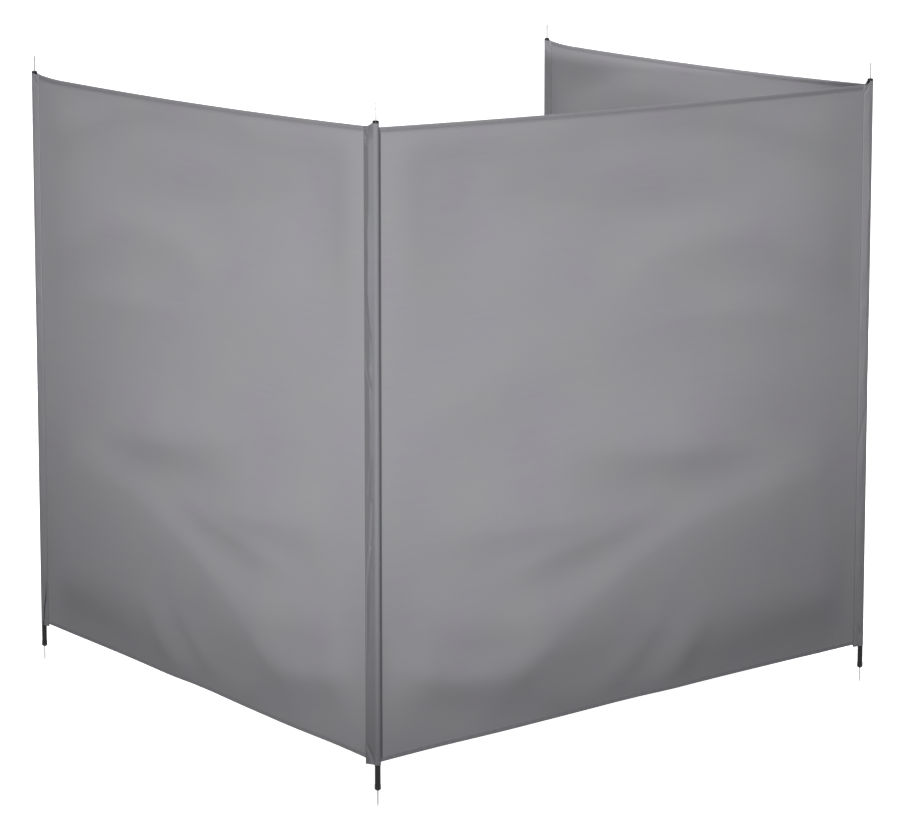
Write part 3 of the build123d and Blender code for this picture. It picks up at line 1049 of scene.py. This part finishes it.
@dataclass
class Pocket:
    """The pocket round one pole: a sleeve of cloth, closed by a seam, with its stitches.

    Args:
        pole: Number of the pole.
        body: The body that it moves with.
        bay: The bay that its seam is sewn to.
        hang: How loosely it hangs.
        layers: What its sleeve is made of.
        cloth: The finishes of the cloth.
        thread: Finish of the stitches.
    """

    pole: int
    body: str
    bay: Bay
    hang: Slack
    layers: Layers
    cloth: dict[Layers, Material]
    thread: Material
    # Radii of the discs that a section is drawn round: the pole, the ridge and the pillow.
    radii: tuple[float, float, float] = (7.15, 2.6, 3.0)
    thickness: float = 0.5
    # The flat ledge at the seam: its width, and half its thickness.
    ledge: float = 3.5
    ledge_half: float = 0.8
    # Points round a section before the ledge, one of them on the outer face's flank, how finely
    # the section is sampled first, and how sharply it turns from disc to disc.
    round_points: int = 71
    flank_point: int = 15
    samples: int = 700
    sharpness: float = 1.6
    # The hem folded in at each end: its depth and its swell.
    hem: float = 7.0
    swelling: float = 0.35
    # The seam's stitches: how far they stay off the ends, and the points that they follow.
    stitch_margin: float = 1.5
    stitch_points: int = 500
    # How far from the seam the top edge's arc starts, and how far from the axis it ends.
    arc_start: float = 6.0
    arc_end: float = 6.3
    # Over what distance from the top and the bottom the ridge comes in.
    top_held: float = 45.0
    bottom_held: float = 60.0
    # How far slow waves carry the ridge along and outwards, and the flat part outwards, and how
    # far from the axis the flat part starts.
    ridge_sway: tuple[float, float] = (1.2, 0.6)
    waviness: float = 0.5
    flat_start: float = 4.0
    # The bar of painted shade along the gap: half its width, half its thickness, and how far it
    # stands off the cloth.
    slit_shade_size: tuple[float, float] = (1.9, 0.7)
    slit_shade_lift: float = 0.2

    def __post_init__(self) -> None:
        """Reads the pocket's place and the length of its tail from its CAD node."""
        tail_way = self.bay.axes.along * (-1.0 if self.pole == self.bay.outer else 1.0)
        self.axes = Axes(pole_axis(self.pole), tail_way, self.bay.axes.outward)
        points = cad_points(f"pocket_{self.pole}") - self.axes.foot
        reach = points @ tail_way
        self.tail = reach.max() / MM
        self.bottom, self.top = points[:, 2].min() / MM, points[:, 2].max() / MM
        self.hem_top = points[reach > (self.tail - 2.0) * MM, 2].max() / MM

    def top_edge(self, x: ndarray) -> ndarray:
        """Height of the top edge: an arc that is level at the seam and climbs to the cap."""
        run = self.tail - (self.arc_start + self.arc_end)
        rise = self.top - self.hem_top
        radius = (run**2 + rise**2) / (2 * rise)
        away = np.clip(self.tail - self.arc_start - x, 0.0, run)
        return self.hem_top + radius - np.sqrt(radius**2 - away**2)

    def bottom_edge(self, x: ndarray) -> ndarray:
        """Height of the bottom edge, which drops towards the corner at the seam."""
        return self.bottom - self.hang.corner_drop * np.clip(x / self.tail, 0.0, 1.0) ** 1.5

    def waves(self, seed: int, z: ndarray) -> ndarray:
        """Slow random sines along the pole, of size one."""
        draw = np.random.default_rng(100 * seed + self.pole)
        total, terms = np.zeros_like(z), 6
        for _ in range(terms):
            total += np.sin(2 * np.pi * z / draw.uniform(55.0, 420.0) + draw.uniform(0.0, 6.3))
        return total / terms**0.5

    def outlines(self, z: ndarray, shrink: float) -> tuple[ndarray, ndarray]:
        """The sleeve's sections: cloth drawn taut round three discs, at each height.

        The discs are the pole, the loose ridge beside it and the pillow at the seam. In the
        direction n each disc reaches s = c.n + r, and the section's point is the mean of the
        discs' points c + r n, weighted by exp(sharpness s), so the corners are rounded.

        Args:
            z: Heights of the sections.
            shrink: How far inside the outer face they are.

        Returns:
            Distance along the tail and distance outwards, each as heights by columns.
        """
        held = (smoothstep((self.top - z) / self.top_held)
                * smoothstep((z - self.bottom) / self.bottom_held))
        along, out = (at + sum(bump.at(z) for bump in bumps) + sway * self.waves(seed, z)
                      for at, bumps, sway, seed in zip(
                          self.hang.ridge_at, (self.hang.wandering, self.hang.looser),
                          self.ridge_sway, (2, 1)))
        turn = np.radians(np.linspace(14.0, 346.0, self.samples))
        way = np.stack([np.cos(turn), np.sin(turn)])
        radii = np.array(self.radii) - shrink
        centres = np.zeros((len(z), 3, 2))
        centres[:, 1] = np.stack([along, out * held], -1)
        centres[:, 2, 0] = self.tail - self.ledge - self.radii[2]
        support = centres @ way + radii[:, None]
        weight = np.exp(self.sharpness * (support - support.max(1, keepdims=True)))
        weight /= weight.sum(1, keepdims=True)
        path = np.einsum("hdk,hdx->hkx", weight, centres)
        path += (np.einsum("hdk,d->hk", weight, radii)[..., None] * way.T)
        half = max(self.ledge_half - 1.3 * shrink, 0.12)
        end = self.tail - 2.2 * shrink
        ledge_x = [end - 0.55 * self.ledge, end, end + 0.3, end, end - 0.55 * self.ledge]
        ledge_y = [-half, -half, 0.0, half, half]
        sections = []
        for section in path:
            length = np.append(0.0, np.cumsum(np.hypot(*np.diff(section, axis=0).T)))
            at = np.linspace(0.0, length[-1], self.round_points)
            sections.append([np.append(np.interp(at, length, section[:, k]), ledge)
                             for k, ledge in enumerate((ledge_x, ledge_y))])
        x, y = np.stack(sections, 1)
        return x, y

    def levels(self) -> ndarray:
        """Heights of the sleeve's rows, which are closer together where it is creased."""
        z = np.linspace(self.bottom, self.top, 3000)
        dense = 1.0 + sum(crease.at(z) for crease in CREASED)
        total = np.append(0.0, np.cumsum(dense[1:]))
        return np.interp(np.linspace(0.0, total[-1], self.hang.rows), total, z)

    def wall(self, level: ndarray, shrink: float, swelling: float) -> Grids:
        """One wall of the sleeve.

        The flat part stands out by the waves and the wrinkles, and a folded-in hem at each end
        shows as a slight swell between the rim and its stitches.

        Args:
            level: Heights of its rows, before the edges' curves.
            shrink: How far inside the outer face it is.
            swelling: How much its hems swell.

        Returns:
            Distances along, outwards and up, each as a grid.
        """
        x, y = self.outlines(level, shrink)
        low, high = self.bottom_edge(x), self.top_edge(x)
        z = low + (high - low) * ((level - self.bottom) / (self.top - self.bottom))[:, None]
        rim = np.minimum(high - z, z - low)
        swell_at, swell_width, pole_near = 0.45 * self.hem, 2.6, 8.0
        swell = 1 + (swelling * bell(rim - swell_at, swell_width)
                     / np.maximum(np.hypot(x, y), 7.0))
        face = np.sign(y)
        flat = self.tail - self.ledge - self.flat_start
        span = np.clip((x - self.flat_start) / flat, 0.0, 1.0)
        waves = np.where(face > 0, self.waves(3, z + x), self.waves(4, z - x))
        wrinkle = sum(crease.height(x, z) for crease in self.hang.wrinkles)
        fade_in, fade_out = 0.12, 0.08
        side = (self.waviness * np.sin(np.pi * span) * waves
                + smoothstep(span / fade_in) * smoothstep((1 - span) / fade_out) * wrinkle)
        # Neither wall gets closer to the sleeve's middle than this, so they never cross.
        least = np.minimum(np.abs(y), 0.35 if shrink == 0.0 else 0.1)
        y = face * np.maximum(np.abs(y) + side, least)
        return np.where(x < pole_near, x * swell, x), y * swell, z

    def seam_stitches(self) -> Surface:
        """Rows of stitches up both faces of the seam's ledge."""
        z = np.linspace(self.bottom + self.stitch_margin, self.hem_top - self.stitch_margin,
                        self.stitch_points)
        x = np.full_like(z, self.tail - 0.5 * self.ledge)
        middle = np.zeros_like(z)
        return joined(Lockstitch().both_faces(self.axes, x, middle, self.ledge_half, z))

    def slit_shade_bar(self, outer: Grids) -> Surface:
        """A thin near-black bar along the gap that tapers to its upper end.

        Its colour is painted shade inside the seam where it gapes. Its section is a flat ellipse
        that lies on the sleeve's outer face.

        Args:
            outer: The outer wall: distances along, outwards and up.

        Returns:
            The bar.
        """
        line = np.array(self.hang.gap)
        spacing, corners, taper, tip = 1.5, 8, 50.0, 0.3
        z = np.arange(line[:, 1].min(), line[:, 1].max(), spacing)
        x = np.interp(z, line[::-1, 1], line[::-1, 0])
        face = np.s_[self.round_points // 2::-1]
        nearest = np.abs(outer[2][:, self.flank_point, None] - z).argmin(0)
        out = np.array([np.interp(at, outer[0][row][face], outer[1][row][face])
                        for at, row in zip(x, nearest)])
        turn = 2 * np.pi * np.arange(corners) / corners
        size = (tip + (1 - tip) * smoothstep((z[-1] - z) / taper))[:, None]
        wide, thick = self.slit_shade_size
        x = x[:, None] + wide * size * np.cos(turn)
        out = out[:, None] + self.slit_shade_lift + thick * size * np.sin(turn)
        z = np.broadcast_to(z[:, None], x.shape)
        return closed_bar(self.axes.points(x, out, z), np.stack([x, z], -1) * MM)

    def build(self) -> list[Object]:
        """Makes the pocket's pieces, fixes them to the body that they ride on, and hides the CAD
        node that they replace.
        """
        name = f"pocket_{self.pole}"
        level = self.levels()
        outer = self.wall(level, 0.0, self.swelling)
        inner = self.wall(level, self.thickness, 0.0)
        steps = np.hypot(np.diff(outer[0]), np.diff(outer[1])).mean(0)
        flat_x = np.append(0.0, np.cumsum(steps))
        uv = np.stack([np.broadcast_to(flat_x, outer[2].shape), outer[2]], -1) * MM
        walls = closed_walls(self.axes.points(*outer), self.axes.points(*inner), uv, wrap=True)
        sleeve = walls.piece(f"{name}_sleeve", self.cloth[self.layers])
        sewn_on = [self.seam_stitches().piece(f"{name}_stitches", self.thread)]
        # Where the seam gapes, a near-black bar paints the shade inside the slit.
        if self.hang.gap:
            sewn_on.append(self.slit_shade_bar(outer).piece(f"{name}_slit_shade_bar",
                                                      self.cloth[Layers.RAW]))
        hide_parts(name)
        for made in (sleeve, *sewn_on):
            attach(made, self.body)
        # The way round is the way past the section's points, and back over the ledge's end.
        return [sleeve, *sewn_on]


# ---- poles ---------------------------------------------------------------------------------
def dress_pole(number: int, tube: Material, ends: Material, rod: Material) -> None:
    """Gives a pole's nodes their finishes; their shapes stay as the frame has them.

    Args:
        number: The pole's number.
        tube: Finish of the tube.
        ends: Finish of the cap and the foot.
        rod: Finish of the pin and the spike.
    """
    finishes = {"tube": tube, "cap": ends, "foot": ends, "pin": rod, "spike": rod}
    for part, material in finishes.items():
        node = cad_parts[f"pole_{number}_{part}"]
        if not node.material_slots:
            node.data.materials.append(material)
        for slot in node.material_slots:
            slot.material = material


# ---- studio --------------------------------------------------------------------------------
def around(turn: float, away: float, height: float) -> Vector:
    """The point at a heading, in degrees from +X towards +Y, a distance and a height."""
    turn = math.radians(turn)
    return Vector((away * math.cos(turn), away * math.sin(turn), height))


def gradient(degrees: float) -> float:
    """How far a line that climbs by this angle rises in one metre."""
    return math.tan(math.radians(degrees))


@dataclass(frozen=True)
class Lamp:
    """A light. Lengths are metres.

    Args:
        name: Its name.
        kind: Its type.
        at: Where it stands.
        target: The point that it looks at.
        settings: Its power, size and edge.
    """

    name: str
    kind: str
    at: Vector
    target: Vector
    settings: dict[str, float | str]


# The key stands on the line that halves the corner at pole 2, so both bays beside it are lit
# alike, brightest next to the pole and fading outwards and down.
KEY_TURN = 218.5
LAMPS = (
    Lamp("key", "SPOT", around(KEY_TURN, 9.5, 1.55), around(KEY_TURN, -1.0, 1.265),
         {"energy": 3970.0, "spot_size": math.radians(17.3), "spot_blend": 1.0,
          "shadow_soft_size": 0.1}),
    # A faint sun above the key.
    Lamp("top", "SUN", around(KEY_TURN, 1.0, gradient(60.0)), Vector(),
         {"energy": 1.65, "angle": math.radians(20.0)}),
    # A spot on the inside of bay 3, along its top edge.
    Lamp("strip", "SPOT", Vector((-3.2, 0.5, 3.9)), Vector((1.9, 0.85, 1.38)),
         {"energy": 610.0, "spot_size": math.radians(19.0), "spot_blend": 0.9,
          "shadow_soft_size": 0.1}),
    # A panel behind the enclosure, which lights its inside.
    Lamp("fill", "AREA", around(35.0, 7.5, 3.2), Vector((0.9, 0.6, 0.8)),
         {"energy": 420.0, "shape": "SQUARE", "size": 3.0}),
)


@dataclass(frozen=True)
class Studio:
    """A white floor, a bright sky over a dark ground, the lamps and a camera.

    Lengths here are metres.

    Args:
        ground: Strength of the light from below the horizon.
        horizon: Strength of the band on the horizon.
        sky: Strength of the light from above the band.
        dusk: Heights between which the ground goes over into the band.
        dawn: Heights between which the band goes over into the sky.
        floor_reach: Half the floor's side.
        floor_gap: How far the floor lies below the spikes.
        floor_glow: Strength of the floor's own light.
        camera_at: The camera's place.
        camera_heading: Its heading in degrees.
        camera_pitch: Its pitch in degrees.
        camera_lens: Its lens in millimetres.
    """

    ground: float = 0.0
    horizon: float = 1.0
    sky: float = 0.29
    dusk: tuple[float, float] = (-0.03, 0.0)
    dawn: tuple[float, float] = (0.11, 0.14)
    floor_reach: float = 90.0
    floor_gap: float = 0.0005
    floor_glow: float = 0.92
    camera_at: tuple[float, float, float] = (-5.594, -5.850, 2.178)
    camera_heading: float = 45.16
    camera_pitch: float = -9.40
    camera_lens: float = 152.1

    def add(self, name: str, data: bpy.types.ID, place: Vector, target: Vector) -> Object:
        """Adds a light or camera.

        Args:
            name: The object's name.
            data: The light or camera.
            place: Where it stands.
            target: The point that it looks at.

        Returns:
            The object.
        """
        thing = bpy.data.objects.new(name, data)
        thing.location = place
        thing.rotation_euler = (target - thing.location).to_track_quat("-Z", "Y").to_euler()
        bpy.context.scene.collection.objects.link(thing)
        return thing

    def lights(self) -> None:
        """Adds the lamps."""
        for lamp in LAMPS:
            light = bpy.data.lights.new(lamp.name, lamp.kind)
            for setting, value in lamp.settings.items():
                setattr(light, setting, value)
            self.add(lamp.name, light, lamp.at, lamp.target)

    def world(self) -> None:
        """Makes the surroundings: a white band on the horizon, less above it, dark below it."""
        world = bpy.data.worlds.new("studio")
        bpy.context.scene.world = world
        world.use_nodes = True
        tree = world.node_tree
        tree.nodes.clear()
        way = add_node(tree, "ShaderNodeTexCoord").outputs["Generated"]
        height = add_node(tree, "ShaderNodeSeparateXYZ", {"Vector": way}).outputs["Z"]
        rising, falling = (
            add_node(tree, "ShaderNodeMapRange",
                     {"Value": height, "From Min": low, "From Max": high, "To Min": below,
                      "To Max": above})
            for (low, high), below, above in ((self.dusk, self.ground, self.horizon),
                                              (self.dawn, self.horizon, self.sky)))
        strength = add_node(tree, "ShaderNodeMath", {0: rising, 1: falling},
                            operation="MINIMUM")
        light = add_node(tree, "ShaderNodeBackground", {"Color": WHITE,
                                                        "Strength": strength})
        add_node(tree, "ShaderNodeOutputWorld", {"Surface": light})

    def floor(self) -> None:
        """Lays the floor at the points of the spikes: white card that glows a little."""
        level = min(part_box(f"pole_{n}_spike")[0].z for n in POLES) - self.floor_gap
        mesh = bpy.data.meshes.new("floor")
        corners = [(x * self.floor_reach, y * self.floor_reach, level)
                   for x, y in ((-1, -1), (1, -1), (1, 1), (-1, 1))]
        mesh.from_pydata(corners, [], [(0, 1, 2, 3)])
        floor = bpy.data.objects.new("floor", mesh)
        bpy.context.scene.collection.objects.link(floor)
        material, tree, shader = new_material("white_card_matt")
        feed(tree, shader, {
            "Base Color": (0.8, 0.8, 0.8, 1.0), "Roughness": 0.95, "Specular IOR Level": 0.0,
            "Emission Color": WHITE, "Emission Strength": self.floor_glow})
        mesh.materials.append(material)
        floor.visible_diffuse = False

    def camera(self) -> None:
        """Puts the camera outside the corner, a little above the cloth, with a long lens."""
        data = bpy.data.cameras.new("camera")
        data.lens = self.camera_lens
        data.sensor_width = 36.0
        data.sensor_fit = "HORIZONTAL"
        data.clip_end = 400.0
        place = Vector(self.camera_at)
        target = place + around(self.camera_heading, 1.0, gradient(self.camera_pitch))
        bpy.context.scene.camera = self.add("camera", data, place, target)

    def build(self) -> None:
        """Sets up the whole studio, with colours shown as they are."""
        self.world()
        self.floor()
        self.lights()
        self.camera()
        settings = bpy.context.scene.view_settings
        settings.view_transform = "Standard"
        settings.look = "None"


# ---- the windbreak -------------------------------------------------------------------------
def report(made: list[Object]) -> None:
    """Logs the name and the triangle count of each piece."""
    for piece in made:
        triangles = sum(len(face.vertices) - 2 for face in piece.data.polygons)
        log.info("%s: %d triangles", piece.name, triangles)


def main() -> None:
    """Builds the windbreak round the frame, and the studio round the windbreak."""
    logging.basicConfig(level=logging.INFO, format="%(message)s")
    cloth = {layers: WovenPolyester(layers).build() for layers in Layers}
    thread = SewingThread().build()
    hard = [finish.build() for finish in (POWDER_COAT, MOULDED_NYLON, ZINC_PLATED_STEEL)]
    for number in POLES:
        dress_pole(number, *hard)
    bays = [Bay(number, body, inner, outer, pulled_up, cloth, thread)
            for number, body, inner, outer, pulled_up in (
                (1, "end_bay_1", 2, 1, True),
                (2, "middle", 2, 3, False),
                (3, "end_bay_3", 3, 4, True))]
    for bay in bays:
        report(bay.build())
    # The pockets' colours are painted shade for two layers, the wide sleeve's also for the corner.
    for pole, body, bay, hang, layers in (
        (1, "end_bay_1", bays[0], GAPING_POCKET, Layers.NARROW),
        (2, "end_bay_1", bays[0], WIDE_POCKET, Layers.SLEEVE),
        (3, "middle", bays[1], NARROW_POCKET, Layers.NARROW),
        (4, "end_bay_3", bays[2], NARROW_POCKET, Layers.NARROW),
    ):
        report(Pocket(pole, body, bay, hang, layers, cloth, thread).build())
    Studio().build()


if __name__ == "__main__":
    main()
